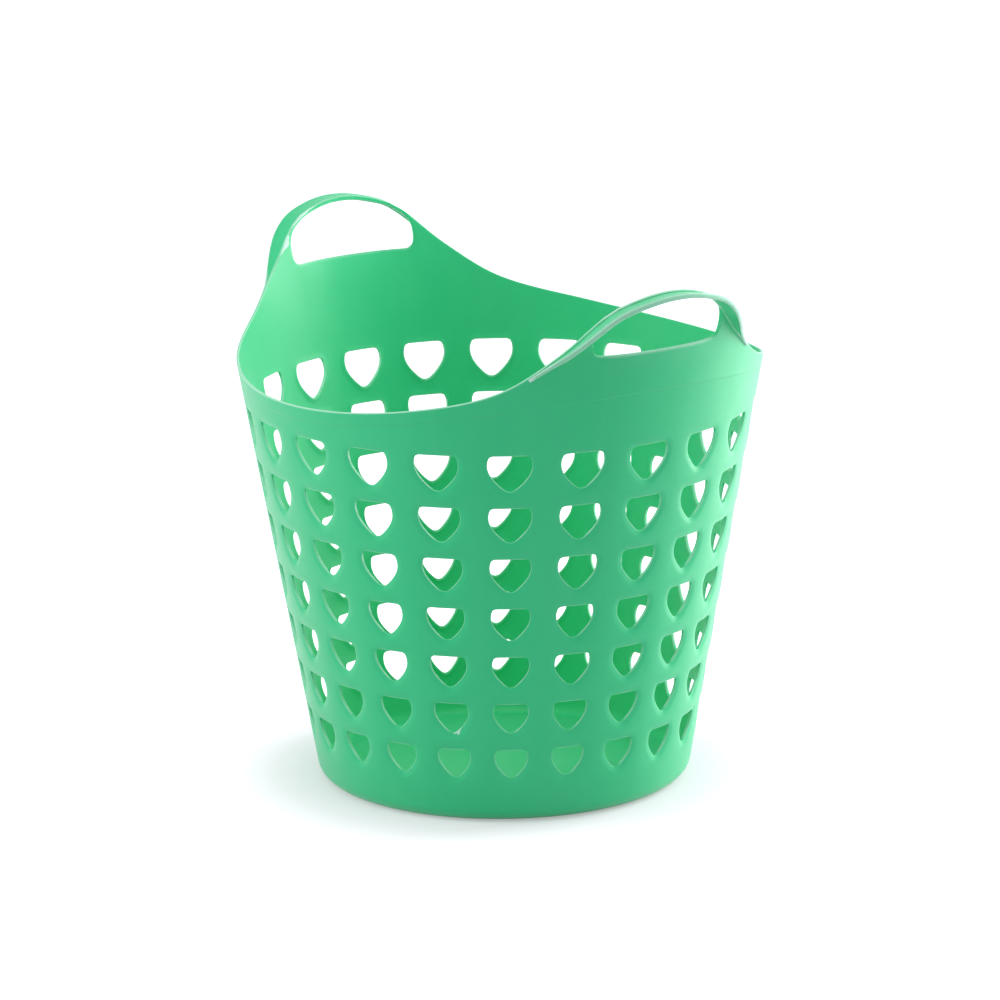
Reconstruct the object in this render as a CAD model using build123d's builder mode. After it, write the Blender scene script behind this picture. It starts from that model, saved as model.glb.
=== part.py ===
"""A round laundry basket moulded in soft plastic, standing on its flat base.

Its leaning wall carries seven rows of shield-shaped holes, and its rim rises at
the left and right into two loop handles with an outward grip flange.
The handles lie along X, the front is -Y, and the floor is z = 0.
"""
from build123d import *
from math import atan, cos, hypot, radians, sin
import os

# Shell, outside sizes
base_diameter = 307.0      # where the leaning wall would meet the floor
mouth_diameter = 430.0     # outside, at the low points of the rim
rim_low_height = 346.0
loop_height = 448.5        # top of both handle loops
wall = 2.4
floor_thickness = 3.0
heel_radius = 15.0         # outside rounding between the wall and the base
heel_height = 30.0         # plain ring under the lowest holes
perforated_top = 328.0     # plain rim band starts here
flare_start = 376.0        # above this the wall bends outward
flare = 5.0                # extra reach at the top of the loops

# Holes
row_count = 7
column_count = 22
lowest_tip_height = 38.8
lowest_pitch = 39.6
pitch_growth = 0.83        # each row step upward is this much taller
lowest_hole_width = 26.6
lowest_hole_height = 25.2
top_hole_width = 36.2
top_hole_height = 30.8
hole_belly = 0.62          # widest level, as a share of the hole's height
hole_top_share = 0.93      # flat top against the widest width
hole_corner = 3.0
hole_tip_radius = 4.5

# Handles
opening_width = 123.0
opening_sill = 400.0       # bottom edge of the hand opening
opening_corner = 7.0
web_height = 3.6           # strip of wall left over the hand opening
web_proud = 0.8            # the wall's edge stands this far above the flange
grip_depth = 15.0
grip_thickness = 2.4
lip_thickness = 2.6        # rounded outer edge of the flange, radially
lip_height = 4.0
grip_root_width = 212.0    # across both ends of the flange
grip_full_width = 168.0    # across the stretch with full depth
side_columns = 5           # hole columns on each handle side

# Derived values
base_radius = base_diameter / 2
mouth_radius = mouth_diameter / 2
slope = (mouth_radius - base_radius) / rim_low_height
lean = atan(slope)
wall_across = wall / cos(lean)
column_pitch = 360.0 / column_count
side_arc = side_columns * column_pitch
front_arc = 180.0 - side_arc
rise = loop_height - rim_low_height
reach = mouth_radius + 60.0
band_top = loop_height + 6.0  # blank height before the rim is cut
seen_along_x = Plane.YZ.offset(-reach)
hole_cut = 12.0            # half length of the cutter through the wall

# The rim seen along X: share of the mouth radius, share of the rise.
saddle_shares = ((0.245, 0.865), (0.40, 0.56), (0.585, 0.265), (0.83, 0.09), (1.2, -0.108))


def outer_radius(height):
    """Outside radius of the straight part of the wall."""
    return base_radius + slope * height


def section_plane(angle):
    """Upright half-plane through the axis; its x runs outward, its y up."""
    turn = radians(angle)
    return Plane(origin=(0, 0, 0), x_dir=(cos(turn), sin(turn), 0),
                 z_dir=(sin(turn), -cos(turn), 0))


def wall_side(shift, low, high):
    """Line of the wall's outside between two heights, moved out by shift."""
    straight_top = min(high, flare_start)
    points = [(outer_radius(low) + shift, low)]
    points.append((outer_radius(straight_top) + shift, straight_top))
    Line(points[0], points[1])
    if high > flare_start:
        tip = (outer_radius(high) + flare + shift, high)
        TangentArc(points[1], tip, tangent=(slope, 1))
        points.append(tip)
    return points[0], points[-1]


def wall_band(inner, outer, low, high):
    """Sketch between two shifted copies of the wall's outside line."""
    with BuildSketch() as band:
        with BuildLine():
            inner_low, inner_high = wall_side(inner, low, high)
            outer_low, outer_high = wall_side(outer, low, high)
            Line(inner_low, outer_low)
            Line(inner_high, outer_high)
        make_face()
    return band.sketch_local


def crown(inset):
    """Points of the rim line seen along X, moved in square to the line."""
    right = [(y * mouth_radius, rim_low_height + z * rise) for y, z in saddle_shares]
    left = [(-y, z) for y, z in reversed(right)]
    line = [*left, (0, loop_height), *right]
    moved = [(line[0][0], line[0][1] - inset)]
    for before, here, after in zip(line, line[1:], line[2:]):
        across = after[0] - before[0]
        up = after[1] - before[1]
        length = hypot(across, up)
        moved.append((here[0] + inset * up / length, here[1] - inset * across / length))
    moved.append((line[-1][0], line[-1][1] - inset))
    return moved


def under_rim(inset=0.0):
    """Sketch of all that lies under the rim line, seen along X."""
    line = crown(inset)
    with BuildSketch() as under:
        with BuildLine():
            Spline(*line, tangents=((1, 0.26), (1, -0.26)))
            Polyline(line[-1], (line[-1][0], 0), (line[0][0], 0), line[0])
        make_face()
    return under.sketch_local


def hole_outline(width, height):
    """Shield with a flat top, full sides and a rounded tip at the origin."""
    belly = hole_belly * height
    top = hole_top_share * width / 2
    with BuildSketch() as shield:
        with BuildLine():
            Line((-top, height), (top, height))
            for side in (-1, 1):
                Line((side * top, height), (side * width / 2, belly))
                ThreePointArc((side * width / 2, belly),
                              (side * 0.335 * width, 0.27 * height), (0, 0))
        make_face()
        fillet(shield.vertices().group_by(Axis.Y)[-1], hole_corner)
        fillet(shield.vertices().group_by(Axis.Y)[0], hole_tip_radius)
    return shield.sketch_local


def tip_height(row):
    """Height of the hole tips in a row, counted from the lowest."""
    return lowest_tip_height + row * lowest_pitch + pitch_growth * row * (row - 1) / 2


def hole_seat(column, radius, height):
    """Upright plane at the wall in a hole column, facing outward."""
    turn = radians(column * column_pitch)
    return Plane(origin=(radius * cos(turn), radius * sin(turn), height),
                 x_dir=(-sin(turn), cos(turn), 0), z_dir=(cos(turn), sin(turn), 0))


def wall_panel(first_column, columns, label):
    """Perforated sector of the wall, holding whole columns of holes."""
    start = (first_column - 0.5) * column_pitch
    with BuildPart() as panel:
        with BuildSketch(section_plane(start)):
            add(wall_band(-wall_across, 0, heel_height, perforated_top))
        revolve(axis=Axis.Z, revolution_arc=columns * column_pitch)
        for row in range(row_count):
            share = row / (row_count - 1)
            width = lowest_hole_width + share * (top_hole_width - lowest_hole_width)
            height = lowest_hole_height + share * (top_hole_height - lowest_hole_height)
            middle = outer_radius(tip_height(row) + height / 2)
            seats = [hole_seat(column, middle, tip_height(row))
                     for column in range(first_column, first_column + columns)]
            with BuildSketch(*seats):
                add(hole_outline(width, height))
            extrude(amount=hole_cut, both=True, mode=Mode.SUBTRACT)
    finish(panel, label)


def finish(piece, label):
    """Name a finished piece and write its file."""
    piece.part.label = label
    export_step(piece.part, f"parts/{label}.step")


os.makedirs("parts", exist_ok=True)

# Flat base
base_flat_radius = base_radius - heel_radius
with BuildPart() as base_floor:
    with BuildSketch():
        Circle(base_flat_radius)
    extrude(amount=floor_thickness)
finish(base_floor, "base_floor")

# Rounded heel between the base and the wall
with BuildPart() as heel_ring:
    with BuildSketch(section_plane(0)):
        with BuildLine():
            Polyline((base_flat_radius, 0), (base_radius, 0),
                     (outer_radius(heel_height), heel_height),
                     (outer_radius(heel_height) - wall_across, heel_height),
                     (outer_radius(floor_thickness) - wall_across, floor_thickness),
                     (base_flat_radius, floor_thickness), close=True)
        make_face()
        outer_corner = vertices().filter_by(lambda v: abs(v.X - base_radius) < 0.01)
        fillet(outer_corner, heel_radius - 1)
        inside = outer_radius(floor_thickness) - wall_across
        inner_corner = vertices().filter_by(lambda v: abs(v.X - inside) < 0.01)
        fillet(inner_corner, heel_radius - 1 - wall)
    revolve(axis=Axis.Z)
finish(heel_ring, "heel_ring")

# Perforated wall in four sectors: five columns under each handle, six between
half_side = side_columns // 2
front_columns = (column_count - 2 * side_columns) // 2
wall_panel(-half_side, side_columns, "wall_right")
wall_panel(half_side + 1, front_columns, "wall_back")
wall_panel(half_side + 1 + front_columns, side_columns, "wall_left")
wall_panel(-half_side - front_columns, front_columns, "wall_front")

# Plain band over the holes, up to the low stretches of the rim
for start, label in ((side_arc / 2, "rim_back"), (180 + side_arc / 2, "rim_front")):
    with BuildPart() as rim:
        with BuildSketch(section_plane(start)):
            add(wall_band(-wall_across, 0, perforated_top, band_top))
        revolve(axis=Axis.Z, revolution_arc=front_arc)
        with BuildSketch(seen_along_x):
            add(under_rim())
        extrude(amount=2 * reach, mode=Mode.INTERSECT)
    finish(rim, label)

# Handle sides: the band rises into a loop over the hand opening
for turn, label in ((0, "right"), (180, "left")):
    with BuildPart() as panel:
        with BuildSketch(section_plane(turn - side_arc / 2)):
            add(wall_band(-wall_across, 0, perforated_top, band_top))
        revolve(axis=Axis.Z, revolution_arc=side_arc)
        with BuildSketch(seen_along_x):
            add(under_rim())
        extrude(amount=2 * reach, mode=Mode.INTERSECT)
        with BuildSketch(seen_along_x):
            add(under_rim(web_height))
            with Locations((0, opening_sill)):
                Rectangle(opening_width, rise, align=(Align.CENTER, Align.MIN),
                          mode=Mode.INTERSECT)
            fillet(vertices(), opening_corner)
        extrude(amount=2 * reach, mode=Mode.SUBTRACT)
    finish(panel, f"handle_{label}")

# Grip flanges, perpendicular to the loops, with a thicker outer lip
plan_wall = outer_radius(opening_sill)
root_x = (plan_wall ** 2 - (grip_root_width / 2) ** 2) ** 0.5
full_x = ((plan_wall + grip_depth) ** 2 - (grip_full_width / 2) ** 2) ** 0.5
taper = (grip_root_width - grip_full_width) / 2 / (full_x - root_x)
far_x = mouth_radius + grip_depth + 30
far_y = grip_root_width / 2 - taper * (far_x - root_x)
for turn, label in ((0, "right"), (180, "left")):
    with BuildPart() as flange:
        with BuildSketch(seen_along_x):
            add(under_rim(web_proud))
            add(under_rim(web_proud + grip_thickness), mode=Mode.SUBTRACT)
        extrude(amount=2 * reach)
        with BuildSketch(section_plane(turn - side_arc / 2)):
            add(wall_band(0, grip_depth, perforated_top, band_top))
        revolve(axis=Axis.Z, revolution_arc=side_arc, mode=Mode.INTERSECT)
    with BuildPart() as lip:
        with BuildSketch(seen_along_x):
            add(under_rim())
            add(under_rim(lip_height), mode=Mode.SUBTRACT)
        extrude(amount=2 * reach)
        with BuildSketch(section_plane(turn - side_arc / 2)):
            add(wall_band(grip_depth - lip_thickness, grip_depth, perforated_top, band_top))
        revolve(axis=Axis.Z, revolution_arc=side_arc, mode=Mode.INTERSECT)
    with BuildPart() as grip:
        add(flange.part)
        add(lip.part)
        with BuildSketch(Plane.XY.rotated((0, 0, turn))):
            Polygon((0, -grip_root_width / 2), (root_x, -grip_root_width / 2), (far_x, -far_y),
                    (far_x, far_y), (root_x, grip_root_width / 2), (0, grip_root_width / 2),
                    align=None)
        extrude(amount=loop_height + 10, mode=Mode.INTERSECT)
    finish(grip, f"grip_{label}")
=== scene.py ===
"""Round laundry basket in soft moulded plastic: shell, grip flanges, material and stage."""
import math

import bpy
from mathutils import Matrix, Vector


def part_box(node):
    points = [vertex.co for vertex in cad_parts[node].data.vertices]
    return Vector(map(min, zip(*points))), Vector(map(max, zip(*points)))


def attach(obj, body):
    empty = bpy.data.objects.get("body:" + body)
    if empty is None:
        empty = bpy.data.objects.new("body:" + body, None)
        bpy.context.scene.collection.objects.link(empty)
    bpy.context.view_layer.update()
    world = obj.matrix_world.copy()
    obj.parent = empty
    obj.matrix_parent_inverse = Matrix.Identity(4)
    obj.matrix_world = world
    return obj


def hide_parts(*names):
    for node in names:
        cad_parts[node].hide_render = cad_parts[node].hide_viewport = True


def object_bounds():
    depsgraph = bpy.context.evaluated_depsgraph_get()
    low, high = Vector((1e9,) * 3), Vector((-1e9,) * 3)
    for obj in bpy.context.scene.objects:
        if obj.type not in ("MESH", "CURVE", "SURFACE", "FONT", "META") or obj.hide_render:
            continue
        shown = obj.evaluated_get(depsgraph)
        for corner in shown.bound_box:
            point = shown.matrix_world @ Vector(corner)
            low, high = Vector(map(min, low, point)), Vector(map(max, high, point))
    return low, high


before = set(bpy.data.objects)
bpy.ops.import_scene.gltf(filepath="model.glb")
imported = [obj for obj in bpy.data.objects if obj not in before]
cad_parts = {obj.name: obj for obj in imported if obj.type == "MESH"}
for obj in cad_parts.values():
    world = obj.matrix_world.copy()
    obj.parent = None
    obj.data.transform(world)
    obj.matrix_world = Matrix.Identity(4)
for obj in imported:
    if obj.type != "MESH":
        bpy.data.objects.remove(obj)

CAD_BOX = [list(corner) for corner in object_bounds()]

bl_info = {
    "name": "Laundry basket",
    "version": (1, 0, 0),
    "blender": (4, 5, 0),
    "location": "3D View > Sidebar > Basket",
    "description": "Builds a perforated soft-plastic laundry basket with two loop handles",
    "category": "Add Mesh",
}

LOW, HIGH = (Vector(corner) for corner in CAD_BOX)
WALL_LOW, WALL_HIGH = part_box("wall_right")
RIM_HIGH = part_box("rim_back")[1]


class BasketSizes(bpy.types.PropertyGroup):
    """Sizes of the basket, in metres."""
    wall: bpy.props.FloatProperty(
        name="Wall", description="Thickness of the moulding",
        default=0.0024, unit="LENGTH")
    base_radius: bpy.props.FloatProperty(
        name="Base radius", description="Outside radius where the leaning wall meets the floor",
        default=0.1535, unit="LENGTH")
    mouth_radius: bpy.props.FloatProperty(
        name="Mouth radius", description="Outside radius at the low points of the rim",
        default=RIM_HIGH.y, unit="LENGTH")
    rim_low: bpy.props.FloatProperty(
        name="Low rim", description="Height of the rim between the handles",
        default=0.346, unit="LENGTH")
    loop_top: bpy.props.FloatProperty(
        name="Loop top", description="Height of the handle loops",
        default=HIGH.z, unit="LENGTH")
    heel_radius: bpy.props.FloatProperty(
        name="Heel radius", description="Rounding between the wall and the base",
        default=0.014, unit="LENGTH")
    flare_start: bpy.props.FloatProperty(
        name="Flare start", description="Height above which the wall bends outward",
        default=0.376, unit="LENGTH")
    flare: bpy.props.FloatProperty(
        name="Flare", description="Extra reach of the wall at the top of the loops",
        default=0.0043, unit="LENGTH")


class HoleSizes(bpy.types.PropertyGroup):
    """Sizes of the shield-shaped holes, in metres."""
    rows: bpy.props.IntProperty(
        name="Rows", description="Rows of holes", default=7)
    columns: bpy.props.IntProperty(
        name="Columns", description="Holes around the wall", default=22)
    low_tip: bpy.props.FloatProperty(
        name="Lowest tips", description="Height of the tips in the lowest row",
        default=0.0388, unit="LENGTH")
    low_pitch: bpy.props.FloatProperty(
        name="Lowest pitch", description="Step between the two lowest rows",
        default=0.0396, unit="LENGTH")
    pitch_growth: bpy.props.FloatProperty(
        name="Pitch growth", description="How much taller each step upward is",
        default=0.00083, unit="LENGTH")
    low_width: bpy.props.FloatProperty(
        name="Lowest width", description="Width of the lowest holes",
        default=0.0266, unit="LENGTH")
    top_width: bpy.props.FloatProperty(
        name="Top width", description="Width of the highest holes",
        default=0.0362, unit="LENGTH")
    low_height: bpy.props.FloatProperty(
        name="Lowest height", description="Height of the lowest holes",
        default=0.0252, unit="LENGTH")
    top_height: bpy.props.FloatProperty(
        name="Top height", description="Height of the highest holes",
        default=0.0308, unit="LENGTH")
    dimple_margin: bpy.props.FloatProperty(
        name="Dimple margin", description="Width of the sunk margin round a hole",
        default=0.0055, unit="LENGTH")
    dimple_depth: bpy.props.FloatProperty(
        name="Dimple depth", description="How far a hole's edge is sunk",
        default=0.0016, unit="LENGTH")


class HandleSizes(bpy.types.PropertyGroup):
    """Sizes of the hand openings and grip flanges, in metres."""
    opening_half: bpy.props.FloatProperty(
        name="Opening half width", description="Half the width of a hand opening",
        default=0.0615, unit="LENGTH")
    sill: bpy.props.FloatProperty(
        name="Opening sill", description="Height of the lower edge of a hand opening",
        default=0.400, unit="LENGTH")
    corner: bpy.props.FloatProperty(
        name="Opening corner", description="Corner radius of a hand opening",
        default=0.0075, unit="LENGTH")
    web: bpy.props.FloatProperty(
        name="Web", description="Strip of wall left over a hand opening",
        default=0.0036, unit="LENGTH")
    web_proud: bpy.props.FloatProperty(
        name="Web proud", description="How far the wall's edge stands above the flange",
        default=0.0011, unit="LENGTH")
    grip_depth: bpy.props.FloatProperty(
        name="Grip depth", description="Reach of the grip flange from the wall",
        default=0.015, unit="LENGTH")
    grip_root: bpy.props.FloatProperty(
        name="Grip root", description="Half width across the ends of the flange",
        default=0.108, unit="LENGTH")
    grip_full: bpy.props.FloatProperty(
        name="Grip full", description="Half width of the stretch with full depth",
        default=0.060, unit="LENGTH")


class FinishColours(bpy.types.PropertyGroup):
    """Colours of the plastic."""
    body: bpy.props.FloatVectorProperty(
        name="Body", description="Main colour of the plastic", subtype="COLOR", size=3,
        min=0.0, max=1.0, default=(0.026, 0.640, 0.262))
    # Pale: painted highlight on thin sharp edges where they catch the light; also the colour toward
    # which the random tone and scuffs lean
    pale: bpy.props.FloatVectorProperty(
        name="Pale", description="Colour of thin and rubbed edges", subtype="COLOR", size=3,
        min=0.0, max=1.0, default=(0.600, 0.920, 0.760))


def sizes():
    return bpy.context.scene.basket_sizes


def holes():
    return bpy.context.scene.basket_holes


def handles():
    return bpy.context.scene.basket_handles


# ---------------------------------------------------------------- the wall's form

def wall_slope():
    s = sizes()
    return (s.mouth_radius - s.base_radius) / s.rim_low


def wall_radius(height):
    """Outside radius of the wall, with the outward bend of the loops."""
    s = sizes()
    radius = s.base_radius + wall_slope() * height
    if height > s.flare_start:
        radius += s.flare * ((height - s.flare_start) / (s.loop_top - s.flare_start)) ** 2
    return radius


def wall_point(angle, height, depth=0.0):
    """Point sunk by depth, square to the wall, under its outside."""
    lean = math.atan(wall_slope())
    radius = wall_radius(height) - depth * math.cos(lean)
    return Vector((radius * math.cos(angle), radius * math.sin(angle),
                   height + depth * math.sin(lean)))


def hermite(points, x):
    """Smooth curve through points sorted by x, with slopes from the neighbours."""
    slopes = []
    for i, (px, py) in enumerate(points):
        before = points[max(i - 1, 0)]
        after = points[min(i + 1, len(points) - 1)]
        slopes.append((after[1] - before[1]) / (after[0] - before[0]))
    slopes[0] = 0.0
    for i in range(len(points) - 1):
        (x0, y0), (x1, y1) = points[i], points[i + 1]
        if x <= x1 or i == len(points) - 2:
            span = x1 - x0
            t = (x - x0) / span
            return ((2 * t ** 3 - 3 * t ** 2 + 1) * y0 + (t ** 3 - 2 * t ** 2 + t) * span * slopes[i]
                    + (3 * t ** 2 - 2 * t ** 3) * y1 + (t ** 3 - t ** 2) * span * slopes[i + 1])


# The rim seen along X: share of the mouth radius, share of the rise.
SADDLE = ((0.0, 1.0), (0.12, 0.968), (0.245, 0.865), (0.40, 0.56), (0.585, 0.265),
          (0.83, 0.09), (1.2, -0.108))


def rim_height(across):
    """Height of the rim line at a distance from the handles' middle plane."""
    s = sizes()
    rise = s.loop_top - s.rim_low
    line = [(y * s.mouth_radius, s.rim_low + z * rise) for y, z in SADDLE]
    return hermite(line, abs(across))


def rim_slope(across):
    step = 0.0005
    return (rim_height(across + step) - rim_height(across - step)) / (2 * step)


def rim_at(angle):
    """Height of the rim at an angle round the basket."""
    height = sizes().rim_low
    for _ in range(12):
        height = rim_height(wall_radius(height) * math.sin(angle))
    return height


# ---------------------------------------------------------------- mesh helpers

def deselect():
    if bpy.context.object and bpy.context.object.mode != "OBJECT":
        bpy.ops.object.mode_set(mode="OBJECT")
    bpy.ops.object.select_all(action="DESELECT")


MERGE_DISTANCE = 0.00002
EDGE_BEVEL = 0.0007


def new_piece(name, vertices, faces):
    """Mesh object made active, with doubles merged."""
    deselect()
    mesh = bpy.data.meshes.new(name)
    mesh.from_pydata([tuple(v) for v in vertices], [], faces)
    piece = bpy.data.objects.new(name, mesh)
    bpy.context.collection.objects.link(piece)
    bpy.context.view_layer.objects.active = piece
    piece.select_set(True)
    bpy.ops.object.mode_set(mode="EDIT")
    bpy.ops.mesh.select_all(action="SELECT")
    bpy.ops.mesh.remove_doubles(threshold=MERGE_DISTANCE)
    bpy.ops.mesh.normals_make_consistent(inside=False)
    bpy.ops.object.mode_set(mode="OBJECT")
    return piece


def apply_modifier(piece, kind, name, **values):
    modifier = piece.modifiers.new(name, kind)
    for key, value in values.items():
        setattr(modifier, key, value)
    bpy.context.view_layer.objects.active = piece
    bpy.ops.object.modifier_apply(modifier=name)


def mesh_rings(rings, faces, start, closed=True):
    """Quads between rings of equal length; start is the first vertex's number."""
    count = len(rings[0])
    last = count if closed else count - 1
    for r in range(len(rings) - 1):
        for k in range(last):
            a = start + r * count + k
            b = start + r * count + (k + 1) % count
            faces.append((a, b, b + count, a + count))


# ---------------------------------------------------------------- holes

# Right half of the shield: shares of the width and of the height above the tip.
SHIELD = ((0.0, 1.0), (0.20, 1.0), (0.390, 0.998), (0.452, 0.965), (0.482, 0.89), (0.499, 0.77),
          (0.491, 0.64), (0.447, 0.49), (0.367, 0.345), (0.263, 0.205), (0.150, 0.082), (0.072, 0.018),
          (0.0, 0.0))
CORNER_POINT = 3           # point of SHIELD where its top becomes its side
FLANK_POINT = 8            # point where its side becomes its tip
DENSE_STEPS = 8
TOP_STEPS = 12             # mesh steps along a hole's top, and along its tip
SIDE_STEPS = 8
# Rings round a hole: share of the dimple's margin, share of its depth.
DIMPLE_RINGS = ((0.0, 1.0), (0.25, 0.78), (0.60, 0.26), (1.0, 0.0))
DIMPLE_TOP_LOSS = 0.55     # how much shallower the dimple is at a hole's top


def catmull(points, steps):
    """Dense line through points."""
    dense = []
    for i in range(len(points) - 1):
        p0 = points[max(i - 1, 0)]
        p1, p2 = points[i], points[i + 1]
        p3 = points[min(i + 2, len(points) - 1)]
        for k in range(steps):
            t = k / steps
            dense.append(tuple(
                0.5 * (2 * b + (c - a) * t + (2 * a - 5 * b + 4 * c - d) * t * t
                       + (3 * b - a - 3 * c + d) * t ** 3)
                for a, b, c, d in zip(p0, p1, p2, p3)))
    dense.append(points[-1])
    return dense


def resample(line, count):
    """Points evenly along a line, without its last point."""
    lengths = [0.0]
    for a, b in zip(line, line[1:]):
        lengths.append(lengths[-1] + math.dist(a, b))
    picked = []
    j = 0
    for k in range(count):
        want = lengths[-1] * k / count
        while lengths[j + 1] < want:
            j += 1
        t = (want - lengths[j]) / (lengths[j + 1] - lengths[j])
        picked.append(tuple(a + (b - a) * t for a, b in zip(line[j], line[j + 1])))
    return picked


def shield_loop(width, height):
    """Hole outline from its top left corner, clockwise seen from outside."""
    half = [(u * width, v * height) for u, v in SHIELD]
    dense = catmull(half, DENSE_STEPS)
    corner, flank = CORNER_POINT * DENSE_STEPS, FLANK_POINT * DENSE_STEPS

    def flip(line):
        return [(-u, v) for u, v in reversed(line)]

    top = flip(dense[:corner + 1]) + dense[1:corner + 1]
    right = dense[corner:flank + 1]
    bottom = dense[flank:] + flip(dense[flank:])[1:]
    left = flip(right)
    return (resample(top, TOP_STEPS) + resample(right, SIDE_STEPS)
            + resample(bottom, TOP_STEPS) + resample(left, SIDE_STEPS))


def widened(loop, margin):
    """Loop moved outward, square to itself."""
    moved = []
    count = len(loop)
    for k, (u, v) in enumerate(loop):
        before, after = loop[k - 1], loop[(k + 1) % count]
        du, dv = after[0] - before[0], after[1] - before[1]
        length = math.hypot(du, dv)
        moved.append((u - margin * dv / length, v + margin * du / length))
    return moved


def tip_height(row):
    h = holes()
    return h.low_tip + row * h.low_pitch + h.pitch_growth * row * (row - 1) / 2


def hole_size(row):
    h = holes()
    share = row / (h.rows - 1)
    return (h.low_width + share * (h.top_width - h.low_width),
            h.low_height + share * (h.top_height - h.low_height))


def row_levels():
    """Heights of the borders between rows of cells."""
    h = holes()
    levels = [WALL_LOW.z]
    for row in range(1, h.rows):
        under = tip_height(row - 1) + hole_size(row - 1)[1]
        levels.append((under + tip_height(row)) / 2)
    levels.append(WALL_HIGH.z)
    return levels


def column_lines():
    """Angles of the upright mesh lines, closer together at the hand openings' corners."""
    h = holes()
    hand = handles()
    pitch = 2 * math.pi / h.columns
    edge = math.asin(hand.opening_half / wall_radius(hand.sill))
    bend = math.asin((hand.opening_half - hand.corner) / wall_radius(hand.sill))
    quarter = [pitch * k / TOP_STEPS for k in range(TOP_STEPS // 2)]
    quarter += [pitch / 2, (pitch / 2 + bend) / 2]
    quarter += [bend + (edge - bend) * math.sin(math.radians(18 * k)) for k in range(5)]
    quarter += [edge + (1.5 * pitch - edge) * share for share in (0.0, 0.13, 0.3, 0.5, 0.74)]
    plain = (h.columns // 4 - 1) * TOP_STEPS
    quarter += [1.5 * pitch + (math.pi / 2 - 1.5 * pitch) * k / plain for k in range(plain)]
    half = quarter + [math.pi / 2] + [math.pi - angle for angle in reversed(quarter[1:])]
    lines = half + [math.pi + angle for angle in half]
    before = [angle - 2 * math.pi for angle in lines if angle > 2 * math.pi - pitch / 2 - 1e-6]
    return before + lines[:len(lines) - len(before)]


def hole_cell(row, column, lines, levels, vertices, faces):
    """One cell of the wall: sunk hole edge, dimple and plain border."""
    h = holes()
    pitch = 2 * math.pi / h.columns
    centre = column * pitch
    width, height = hole_size(row)
    tip = tip_height(row)
    low, high = levels[row], levels[row + 1]
    even = [centre - pitch / 2 + pitch * k / TOP_STEPS for k in range(TOP_STEPS + 1)]
    start = column * TOP_STEPS
    own = [lines[(start + k) % len(lines)] for k in range(TOP_STEPS + 1)]
    if column == h.columns - 1:
        own[-1] += 2 * math.pi
    top = own if row == h.rows - 1 else even
    border = [(a, high) for a in top[:-1]]
    border += [(even[-1], high + (low - high) * k / SIDE_STEPS) for k in range(SIDE_STEPS)]
    border += [(a, low) for a in reversed(even[1:])]
    border += [(even[0], low + (high - low) * k / SIDE_STEPS) for k in range(SIDE_STEPS)]
    loop = shield_loop(width, height)
    rings = []
    for margin, sunk in DIMPLE_RINGS:
        ring = []
        for u, v in widened(loop, margin * h.dimple_margin):
            level = max(0.0, min(1.0, v / height))
            depth = h.dimple_depth * sunk * (1.0 - DIMPLE_TOP_LOSS * level)
            angle = centre + u / wall_radius(tip + v)
            ring.append(wall_point(angle, tip + v, depth))
        rings.append(ring)
    rings.append([wall_point(a, z) for a, z in border])
    mesh_rings(rings, faces, len(vertices))
    for ring in rings:
        vertices.extend(ring)


# ---------------------------------------------------------------- band, handles, base

BAND_ROWS = 9              # mesh rows under the hand openings
SIDE_ROWS = 2              # rows beside them
TOP_ROWS = 3               # rows over them
ROLL_REACH = 0.018         # height over which the wall rolls out to an opening's sill
ROLL_OUT = 0.0022


def near_side(angle):
    """Angle from the nearer handle's middle plane."""
    return (angle + math.pi / 2) % math.pi - math.pi / 2


def corner_rise(across):
    """How far a rounded corner of the hand opening lifts its edge."""
    hand = handles()
    over = max(0.0, across - (hand.opening_half - hand.corner))
    over = min(over, hand.corner)
    return hand.corner - math.sqrt(max(0.0, hand.corner ** 2 - over ** 2))


def opening_edges(angle):
    """Lower and upper edge of the hand opening at an angle, clamped at its sides."""
    hand = handles()
    local = abs(near_side(angle))
    across = min(wall_radius(hand.sill) * math.sin(local), hand.opening_half)
    low = hand.sill + corner_rise(across)
    web = hand.web * math.hypot(1.0, rim_slope(across))
    return low, rim_height(across) - web - corner_rise(across)


def band_heights(angle, inside):
    """Heights of the mesh rows from the perforated wall up to the rim."""
    start = WALL_HIGH.z
    rim = rim_at(angle)
    if inside:
        low, high = opening_edges(angle)
    else:
        hand = handles()
        edge = math.asin(hand.opening_half / wall_radius(hand.sill))
        low, high = opening_edges(edge)
        edge_rim = rim_at(edge)
        low = start + (rim - start) * (low - start) / (edge_rim - start)
        high = start + (rim - start) * (high - start) / (edge_rim - start)
    rows = [start + (low - start) * (1 - (1 - k / BAND_ROWS) ** 1.35) for k in range(BAND_ROWS)]
    rows += [low + (high - low) * k / SIDE_ROWS for k in range(SIDE_ROWS)]
    rows += [high + (rim - high) * k / TOP_ROWS for k in range(TOP_ROWS + 1)]
    return rows


def sill_roll(angle, height):
    """Outward roll of the wall just under a hand opening."""
    hand = handles()
    local = abs(near_side(angle)) * wall_radius(hand.sill)
    side = max(0.0, 1.0 - (local / (hand.opening_half - hand.corner)) ** 4)
    if not hand.sill - ROLL_REACH < height < hand.sill + 0.001:
        return 0.0
    return ROLL_OUT * side * ((height - hand.sill + ROLL_REACH) / ROLL_REACH) ** 2


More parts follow.
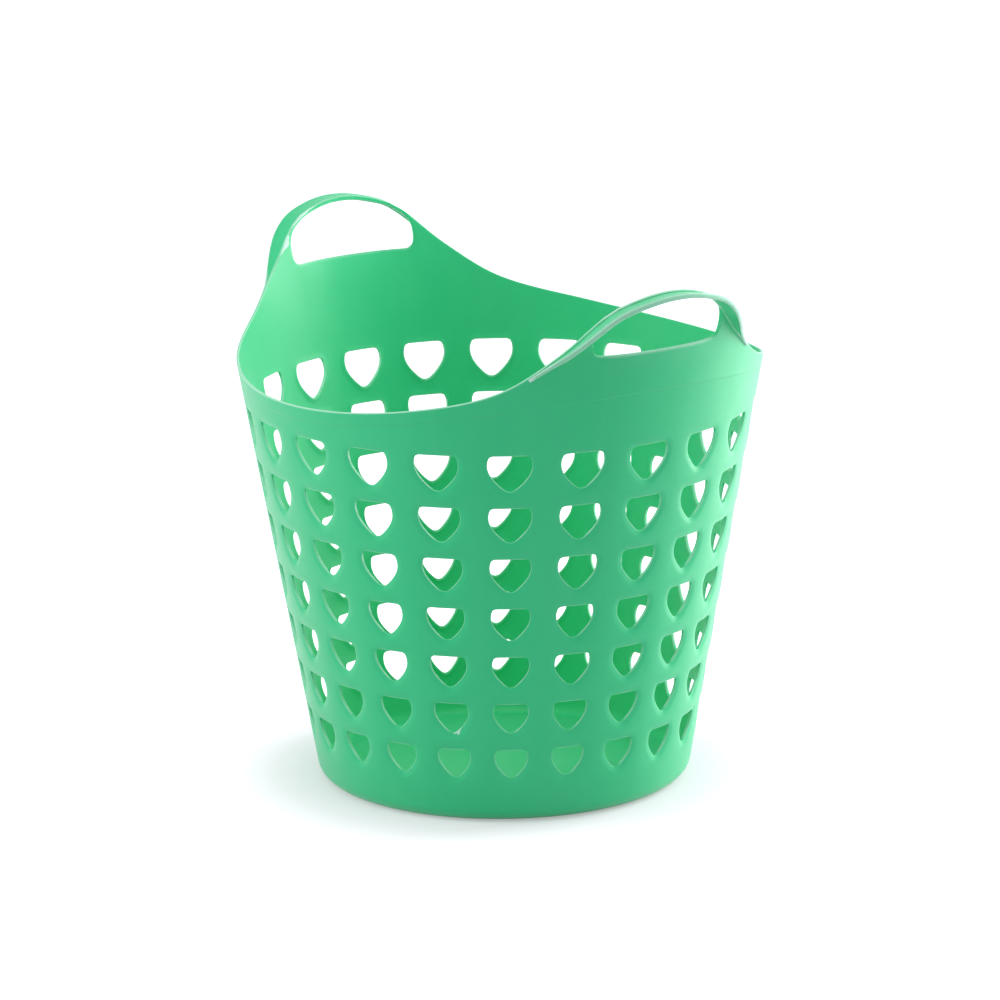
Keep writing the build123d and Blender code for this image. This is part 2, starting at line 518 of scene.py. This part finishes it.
def rim_band(lines, vertices, faces):
    """Plain band, low rims and handle loops, with the hand openings left out."""
    hand = handles()
    edge = math.asin(hand.opening_half / wall_radius(hand.sill))
    start = len(vertices)
    flags = []
    per_line = BAND_ROWS + SIDE_ROWS + TOP_ROWS + 1
    for angle in lines:
        inside = abs(near_side(angle)) <= edge + 1e-6
        flags.append(inside)
        for height in band_heights(angle, inside):
            vertices.append(wall_point(angle, height, -sill_roll(angle, height)))
    count = len(lines)
    for k in range(count):
        after = (k + 1) % count
        for row in range(per_line - 1):
            in_opening = BAND_ROWS <= row < BAND_ROWS + SIDE_ROWS
            if in_opening and flags[k] and flags[after]:
                continue
            a = start + k * per_line + row
            b = start + after * per_line + row
            faces.append((a, b, b + 1, a + 1))


def heel_and_base(vertices, faces):
    """Rounded heel and flat base under the lowest row of cells."""
    s = sizes()
    h = holes()
    count = h.columns * TOP_STEPS
    lean = math.atan(wall_slope())
    turn = math.pi / 2 - lean
    tangent = s.heel_radius * math.tan(turn / 2)
    centre_r = s.base_radius - tangent
    profile = [(wall_radius(WALL_LOW.z), WALL_LOW.z)]
    for k in range(9):
        a = -lean - turn * k / 8
        profile.append((centre_r + s.heel_radius * math.cos(a),
                        s.heel_radius + s.heel_radius * math.sin(a)))
    profile += [(centre_r - 0.012, 0.0), (centre_r * 0.6, 0.0), (centre_r * 0.25, 0.0)]
    offset = -math.pi / h.columns
    rings = []
    for radius, height in profile:
        rings.append([Vector((radius * math.cos(offset + 2 * math.pi * k / count),
                              radius * math.sin(offset + 2 * math.pi * k / count), height))
                      for k in range(count)])
    start = len(vertices)
    mesh_rings(rings, faces, start)
    for ring in rings:
        vertices.extend(ring)
    hub = len(vertices)
    vertices.append(Vector((0, 0, 0)))
    last = start + (len(rings) - 1) * count
    for k in range(count):
        faces.append((last + k, last + (k + 1) % count, hub))


class BASKET_OT_shell(bpy.types.Operator):
    """Build the whole moulding: base, heel, perforated wall, rim and handle loops"""
    bl_idname = "basket.shell"
    bl_label = "Basket shell"

    def execute(self, context):
        h = holes()
        s = sizes()
        lines = column_lines()
        levels = row_levels()
        vertices, faces = [], []
        for row in range(h.rows):
            for column in range(h.columns):
                hole_cell(row, column, lines, levels, vertices, faces)
        rim_band(lines, vertices, faces)
        heel_and_base(vertices, faces)
        shell = new_piece("basket_shell", vertices, faces)
        apply_modifier(shell, "SOLIDIFY", "wall", thickness=s.wall, offset=-1.0,
                       use_even_offset=True, use_rim=True)
        apply_modifier(shell, "BEVEL", "edges", width=EDGE_BEVEL, segments=2,
                       limit_method="ANGLE", angle_limit=math.radians(55), use_clamp_overlap=True)
        bpy.ops.object.shade_smooth_by_angle(angle=math.radians(50))
        shell.data.materials.append(plastic())
        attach(shell, "root")
        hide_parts(*[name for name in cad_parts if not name.startswith("grip")])
        return {"FINISHED"}


# ---------------------------------------------------------------- grips

def smooth_step(x):
    x = max(0.0, min(1.0, x))
    return x * x * (3 - 2 * x)


FLANGE_THICK = 0.0023
LIP_HIGH = 0.0042
FLANGE_RISE = 0.0012       # the flange's outer edge stands this much higher
ROOT_DEPTH = 0.0012        # depth left at the flange's ends
GRIP_STATIONS = 96


def grip_section(depth):
    """Closed outline of the flange: reach from the wall, level across it."""
    thin = FLANGE_THICK
    lip = min(LIP_HIGH, thin + depth * 0.25)
    rise = FLANGE_RISE * depth / handles().grip_depth
    top = -handles().web_proud
    return [(-0.0016, top), (0.0004, top), (depth * 0.55, top + rise * 0.5),
            (depth - 0.0022, top + rise * 0.9), (depth - 0.0012, top + rise + 0.0002),
            (depth - 0.0004, top + rise - 0.0003), (depth, top + rise - 0.0012),
            (depth, top + rise - lip + 0.0010), (depth - 0.0004, top + rise - lip + 0.0003),
            (depth - 0.0011, top + rise - lip), (depth - 0.0019, top + rise - lip + 0.0003),
            (depth - 0.0024, top + rise - lip + 0.0011),
            (depth * 0.8 - 0.002, top + rise * 0.75 - thin),
            (depth * 0.4, top + rise * 0.4 - thin), (0.0004, top - thin), (-0.0016, top - thin)]


def grip_mesh(turn):
    """Rings of the flange along the loop, on the handle at angle turn."""
    hand = handles()
    rings = []
    for k in range(GRIP_STATIONS + 1):
        share = 2 * k / GRIP_STATIONS - 1
        across = hand.grip_root * share
        height = rim_height(across)
        fade = smooth_step((hand.grip_root - abs(across)) / (hand.grip_root - hand.grip_full))
        depth = ROOT_DEPTH + (hand.grip_depth - ROOT_DEPTH) * fade
        slope = rim_slope(across)
        radius = wall_radius(height)
        angle = math.asin(across / radius)
        outward = Vector((math.cos(angle), math.sin(angle), 0))
        along = Vector((-math.sin(angle), math.cos(angle), slope)).normalized()
        up = outward.cross(along).normalized()
        if up.z < 0:
            up = -up
        base = Vector((radius * math.cos(angle), radius * math.sin(angle), height))
        ring = [base + outward * a + up * b for a, b in grip_section(depth)]
        rings.append(ring)
    spin = Matrix.Rotation(turn, 3, "Z")
    return [[spin @ point for point in ring] for ring in rings]


class BASKET_OT_grips(bpy.types.Operator):
    """Build the two grip flanges along the handle loops"""
    bl_idname = "basket.grips"
    bl_label = "Grip flanges"

    def execute(self, context):
        for turn, label in ((0.0, "right"), (math.pi, "left")):
            rings = grip_mesh(turn)
            vertices, faces = [], []
            mesh_rings(rings, faces, 0)
            for ring in rings:
                vertices.extend(ring)
            count = len(rings[0])
            faces.append(tuple(range(count)))
            faces.append(tuple(range(len(vertices) - count, len(vertices))))
            grip = new_piece(f"grip_flange_{label}", vertices, faces)
            bpy.ops.object.shade_smooth_by_angle(angle=math.radians(45))
            grip.data.materials.append(plastic())
            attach(grip, "root")
            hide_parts(f"grip_{label}")
        return {"FINISHED"}


# ---------------------------------------------------------------- material

def add_socket(group, name, way, kind, value=None):
    socket = group.interface.new_socket(name=name, in_out=way, socket_type=kind)
    if value is not None:
        socket.default_value = value
    return socket


def link(tree, source, target):
    tree.links.new(source, target)


def maths(tree, operation, first, second=None):
    node = tree.nodes.new("ShaderNodeMath")
    node.operation = operation
    for k, value in enumerate((first, second)):
        if value is None:
            continue
        if isinstance(value, (int, float)):
            node.inputs[k].default_value = value
        else:
            link(tree, value, node.inputs[k])
    return node.outputs[0]


def noise(tree, vector, scale, detail=3.0, roughness=0.5):
    """Noise value; its scale is a number or a socket."""
    node = tree.nodes.new("ShaderNodeTexNoise")
    if isinstance(scale, (int, float)):
        node.inputs["Scale"].default_value = scale
    else:
        link(tree, scale, node.inputs["Scale"])
    node.inputs["Detail"].default_value = detail
    node.inputs["Roughness"].default_value = roughness
    link(tree, vector, node.inputs["Vector"])
    return node.outputs["Fac"]


STEP_LEVEL = 0.3351        # height of the step line at the middle of the front
STEP_BOW = 0.636           # how fast it rises with the square of x
STEP_HALF = 0.0007         # half the height over which it steps
STEP_LIFT = 0.00030
SOFT_DENTS = 0.0009
FINE_GRAIN = 0.000035


def moulded_group():
    """Node group: cloudy tone, faint flow streaks, fine grain and the step line under the rim."""
    if "Moulded plastic" in bpy.data.node_groups:
        return bpy.data.node_groups["Moulded plastic"]
    group = bpy.data.node_groups.new("Moulded plastic", "ShaderNodeTree")
    add_socket(group, "Cloud scale", "INPUT", "NodeSocketFloat", 9.0)
    add_socket(group, "Grain scale", "INPUT", "NodeSocketFloat", 1400.0)
    add_socket(group, "Tone", "OUTPUT", "NodeSocketFloat")
    add_socket(group, "Scuff", "OUTPUT", "NodeSocketFloat")
    add_socket(group, "Height", "OUTPUT", "NodeSocketFloat")
    nodes = group.nodes
    inlet = nodes.new("NodeGroupInput")
    outlet = nodes.new("NodeGroupOutput")
    place = nodes.new("ShaderNodeTexCoord").outputs["Object"]
    cloud = noise(group, place, inlet.outputs["Cloud scale"])
    stretch = nodes.new("ShaderNodeMapping")
    stretch.inputs["Scale"].default_value = (1.0, 1.0, 0.08)
    link(group, place, stretch.inputs["Vector"])
    streak = noise(group, stretch.outputs["Vector"], 60.0, 2.0)
    grain = noise(group, place, inlet.outputs["Grain scale"], 2.0, 0.6)
    dents = noise(group, place, 22.0, 1.0)
    tone = maths(group, "ADD", maths(group, "MULTIPLY", cloud, 0.6),
                 maths(group, "MULTIPLY", streak, 0.4))
    link(group, tone, outlet.inputs["Tone"])
    spots = noise(group, place, 240.0, 4.0, 0.7)
    scuff = maths(group, "MULTIPLY", maths(group, "SUBTRACT", spots, 0.62), 4.0)
    link(group, maths(group, "MAXIMUM", scuff, 0.0), outlet.inputs["Scuff"])
    parts = nodes.new("ShaderNodeSeparateXYZ")
    link(group, place, parts.inputs[0])
    square = maths(group, "POWER", maths(group, "ABSOLUTE", parts.outputs["X"]), 2.0)
    bow = maths(group, "MULTIPLY", square, STEP_BOW)
    over = maths(group, "SUBTRACT", maths(group, "SUBTRACT", parts.outputs["Z"], STEP_LEVEL), bow)
    step = nodes.new("ShaderNodeMapRange")
    step.interpolation_type = "SMOOTHSTEP"
    step.inputs["From Min"].default_value = -STEP_HALF
    step.inputs["From Max"].default_value = STEP_HALF
    link(group, over, step.inputs["Value"])
    facing = nodes.new("ShaderNodeVectorMath")
    facing.operation = "DOT_PRODUCT"
    link(group, nodes.new("ShaderNodeNewGeometry").outputs["True Normal"], facing.inputs[0])
    link(group, place, facing.inputs[1])
    outside = maths(group, "GREATER_THAN", facing.outputs["Value"], 0.0)
    lift = maths(group, "MULTIPLY", maths(group, "MULTIPLY", step.outputs["Result"], outside), STEP_LIFT)
    soft = maths(group, "MULTIPLY", dents, SOFT_DENTS)
    fine = maths(group, "MULTIPLY", grain, FINE_GRAIN)
    link(group, maths(group, "ADD", maths(group, "ADD", lift, soft), fine), outlet.inputs["Height"])
    return group


def plastic():
    """Soft polyethylene with a satin skin, paler in its cloudy tone and at random scuffs, and on thin
    sharp edges, where the pale is a painted highlight.
    """
    if "mint_plastic" in bpy.data.materials:
        return bpy.data.materials["mint_plastic"]
    colours = bpy.context.scene.basket_colours
    material = bpy.data.materials.new("mint_plastic")
    material.use_nodes = True
    tree = material.node_tree
    shader = tree.nodes["Principled BSDF"]
    effect = tree.nodes.new("ShaderNodeGroup")
    effect.node_tree = moulded_group()
    tone = tree.nodes.new("ShaderNodeMapRange")
    tone.inputs["From Min"].default_value = 0.3
    tone.inputs["From Max"].default_value = 0.7
    tone.inputs["To Min"].default_value = 0.0
    tone.inputs["To Max"].default_value = 0.035
    link(tree, effect.outputs["Tone"], tone.inputs["Value"])
    # Sharp edges, picked out by pointiness, are mixed toward the pale colour: a painted highlight where
    # they catch the light
    edge = tree.nodes.new("ShaderNodeNewGeometry")
    edge_highlight = tree.nodes.new("ShaderNodeMapRange")
    edge_highlight.inputs["From Min"].default_value = 0.515
    edge_highlight.inputs["From Max"].default_value = 0.56
    edge_highlight.inputs["To Max"].default_value = 1.0
    link(tree, edge.outputs["Pointiness"], edge_highlight.inputs["Value"])
    share = maths(tree, "ADD", tone.outputs["Result"], edge_highlight.outputs["Result"])
    share = maths(tree, "ADD", share, maths(tree, "MULTIPLY", effect.outputs["Scuff"], 0.04))
    mix = tree.nodes.new("ShaderNodeMix")
    mix.data_type = "RGBA"
    mix.inputs["A"].default_value = (*colours.body, 1.0)
    mix.inputs["B"].default_value = (*colours.pale, 1.0)
    link(tree, share, mix.inputs["Factor"])
    link(tree, mix.outputs["Result"], shader.inputs["Base Color"])
    rough = tree.nodes.new("ShaderNodeMapRange")
    rough.inputs["To Min"].default_value = 0.36
    rough.inputs["To Max"].default_value = 0.47
    link(tree, effect.outputs["Tone"], rough.inputs["Value"])
    link(tree, rough.outputs["Result"], shader.inputs["Roughness"])
    bump = tree.nodes.new("ShaderNodeBump")
    bump.inputs["Strength"].default_value = 1.0
    bump.inputs["Distance"].default_value = 1.0
    link(tree, effect.outputs["Height"], bump.inputs["Height"])
    link(tree, bump.outputs["Normal"], shader.inputs["Normal"])
    shader.inputs["IOR"].default_value = 1.51
    shader.inputs["Specular IOR Level"].default_value = 0.3
    shader.inputs["Subsurface Weight"].default_value = 0.12
    shader.inputs["Subsurface Radius"].default_value = (0.3, 1.0, 0.6)
    shader.inputs["Subsurface Scale"].default_value = 0.004
    shader.inputs["Sheen Weight"].default_value = 0.22
    shader.inputs["Sheen Roughness"].default_value = 0.5
    return material


# ---------------------------------------------------------------- stage

CAMERA_ANGLE = math.radians(-34.69)
CAMERA_RISE = 0.24082
CAMERA_ROLL = -0.01194
CAMERA_DISTANCE = 4.7445
AIM_HEIGHT = 0.28905
SENSOR_WIDTH = 36.0
LENS_SENSORS = 5.7508      # focal length in sensor widths
SHIFT_X, SHIFT_Y = -0.000486, -0.0686
FLOOR_SIZE = 14.0
FLOOR_GAP = 0.0002
FLOOR_COLOUR = (0.66, 0.64, 0.69, 1.0)
GLOW_START, GLOW_END = 0.155, 0.32     # distances over which the floor's glow rises until the floor turns white; the dimmer glow nearer the basket is painted shade round its base
# glow strength next to the basket: the floor there is painted darker, a painted shade that adds to the
# real shadow
GLOW_LOW = 0.36
WORLD_FILL = 0.50


def camera_axes():
    """Right, up and backward directions of the camera."""
    a, e = CAMERA_ANGLE, CAMERA_RISE
    back = Vector((math.cos(a) * math.cos(e), math.sin(a) * math.cos(e), math.sin(e)))
    right = Vector((-math.sin(a), math.cos(a), 0))
    up = back.cross(right)
    c, s = math.cos(CAMERA_ROLL), math.sin(CAMERA_ROLL)
    return right * c + up * s, up * c - right * s, back


def area_light(name, place, aim, width, height, power):
    data = bpy.data.lights.new(name, "AREA")
    data.shape = "RECTANGLE"
    data.size, data.size_y = width, height
    data.energy = power
    lamp = bpy.data.objects.new(name, data)
    bpy.context.collection.objects.link(lamp)
    lamp.location = place
    lamp.rotation_euler = (Vector(aim) - Vector(place)).to_track_quat("-Z", "Y").to_euler()
    return lamp


def seen_rays(tree, path):
    """One for the rays that look at the background, else zero."""
    seen = path.outputs["Is Camera Ray"]
    for name in ("Is Glossy Ray", "Is Transmission Ray"):
        seen = maths(tree, "MAXIMUM", seen, path.outputs[name])
    return seen


def floor_material():
    material = bpy.data.materials.new("studio_floor")
    material.use_nodes = True
    tree = material.node_tree
    tree.nodes.clear()
    out = tree.nodes.new("ShaderNodeOutputMaterial")
    matt = tree.nodes.new("ShaderNodeBsdfDiffuse")
    matt.inputs["Color"].default_value = FLOOR_COLOUR
    glow = tree.nodes.new("ShaderNodeEmission")
    path = tree.nodes.new("ShaderNodeLightPath")
    place = tree.nodes.new("ShaderNodeTexCoord").outputs["Object"]
    far = tree.nodes.new("ShaderNodeVectorMath")
    far.operation = "LENGTH"
    link(tree, place, far.inputs[0])
    # Glow rises with distance from the basket: a white backdrop far off, and painted shade round the
    # base where the real shadow also falls
    rise = tree.nodes.new("ShaderNodeMapRange")
    rise.interpolation_type = "SMOOTHSTEP"
    rise.inputs["From Min"].default_value = GLOW_START
    rise.inputs["From Max"].default_value = GLOW_END
    rise.inputs["To Min"].default_value = GLOW_LOW
    rise.inputs["To Max"].default_value = 1.0
    link(tree, far.outputs["Value"], rise.inputs["Value"])
    seen = seen_rays(tree, path)
    link(tree, maths(tree, "MULTIPLY", seen, rise.outputs["Result"]), glow.inputs["Strength"])
    both = tree.nodes.new("ShaderNodeAddShader")
    link(tree, matt.outputs[0], both.inputs[0])
    link(tree, glow.outputs[0], both.inputs[1])
    link(tree, both.outputs[0], out.inputs["Surface"])
    return material


def studio_world():
    world = bpy.data.worlds.new("studio")
    bpy.context.scene.world = world
    world.use_nodes = True
    tree = world.node_tree
    tree.nodes.clear()
    out = tree.nodes.new("ShaderNodeOutputWorld")
    seen = tree.nodes.new("ShaderNodeBackground")
    seen.inputs["Color"].default_value = (1.0, 1.0, 1.0, 1.0)
    fill = tree.nodes.new("ShaderNodeBackground")
    fill.inputs["Color"].default_value = (0.96, 0.98, 1.0, 1.0)
    fill.inputs["Strength"].default_value = WORLD_FILL
    path = tree.nodes.new("ShaderNodeLightPath")
    pick = tree.nodes.new("ShaderNodeMixShader")
    link(tree, seen_rays(tree, path), pick.inputs["Fac"])
    link(tree, fill.outputs[0], pick.inputs[1])
    link(tree, seen.outputs[0], pick.inputs[2])
    link(tree, pick.outputs[0], out.inputs["Surface"])


class BASKET_OT_stage(bpy.types.Operator):
    """Set up the pale floor, the soft studio lamps, the world and the camera"""
    bl_idname = "basket.stage"
    bl_label = "Studio stage"

    def execute(self, context):
        scene = context.scene
        scene.view_settings.view_transform = "Standard"
        deselect()
        bpy.ops.mesh.primitive_plane_add(size=FLOOR_SIZE, location=(0, 0, LOW.z - FLOOR_GAP))
        floor = context.object
        floor.name = "studio_floor"
        floor.data.materials.append(floor_material())
        studio_world()
        right, up, back = camera_axes()
        camera_data = bpy.data.cameras.new("camera")
        camera = bpy.data.objects.new("camera", camera_data)
        context.collection.objects.link(camera)
        camera_data.sensor_width = SENSOR_WIDTH
        camera_data.lens = SENSOR_WIDTH * LENS_SENSORS
        camera_data.shift_x = SHIFT_X
        camera_data.shift_y = SHIFT_Y
        camera_data.clip_end = 50.0
        turn = Matrix((right, up, back)).transposed().to_4x4()
        place = Vector((0, 0, AIM_HEIGHT)) + back * CAMERA_DISTANCE
        camera.matrix_world = Matrix.Translation(place) @ turn
        scene.camera = camera
        away = Vector((-math.cos(CAMERA_ANGLE), -math.sin(CAMERA_ANGLE), 0))
        side = Vector((-math.sin(CAMERA_ANGLE), math.cos(CAMERA_ANGLE), 0))
        middle = Vector((0, 0, 0.25))
        area_light("softbox_right", middle + side * 1.3 + away * 0.55 + Vector((0, 0, 0.35)),
                   middle, 0.9, 1.3, 24.0)
        area_light("softbox_left", middle - side * 1.6 - away * 0.2 + Vector((0, 0, 0.5)),
                   middle, 1.0, 1.4, 11.0)
        area_light("top_fill", Vector((0, 0, 2.2)) - away * 0.4, middle, 1.6, 1.6, 10.0)
        return {"FINISHED"}


class BASKET_PT_panel(bpy.types.Panel):
    """Lists the basket's operators"""
    bl_idname = "BASKET_PT_panel"
    bl_label = "Laundry basket"
    bl_space_type = "VIEW_3D"
    bl_region_type = "UI"
    bl_category = "Basket"

    def draw(self, context):
        for operator in OPERATORS:
            self.layout.operator(operator.bl_idname)
        for group in ("basket_sizes", "basket_holes", "basket_handles", "basket_colours"):
            box = self.layout.box()
            owner = getattr(context.scene, group)
            for name in owner.bl_rna.properties.keys():
                if name not in ("rna_type", "name"):
                    box.prop(owner, name)


GROUPS = {"basket_sizes": BasketSizes, "basket_holes": HoleSizes,
          "basket_handles": HandleSizes, "basket_colours": FinishColours}
OPERATORS = (BASKET_OT_shell, BASKET_OT_grips, BASKET_OT_stage)
CLASSES = (*GROUPS.values(), *OPERATORS, BASKET_PT_panel)


def register():
    for cls in CLASSES:
        bpy.utils.register_class(cls)
    for name, cls in GROUPS.items():
        setattr(bpy.types.Scene, name, bpy.props.PointerProperty(type=cls))


def unregister():
    for name in GROUPS:
        delattr(bpy.types.Scene, name)
    for cls in reversed(CLASSES):
        bpy.utils.unregister_class(cls)


def main():
    register()
    bpy.ops.basket.shell()
    bpy.ops.basket.grips()
    bpy.ops.basket.stage()


if __name__ == "__main__":
    main()
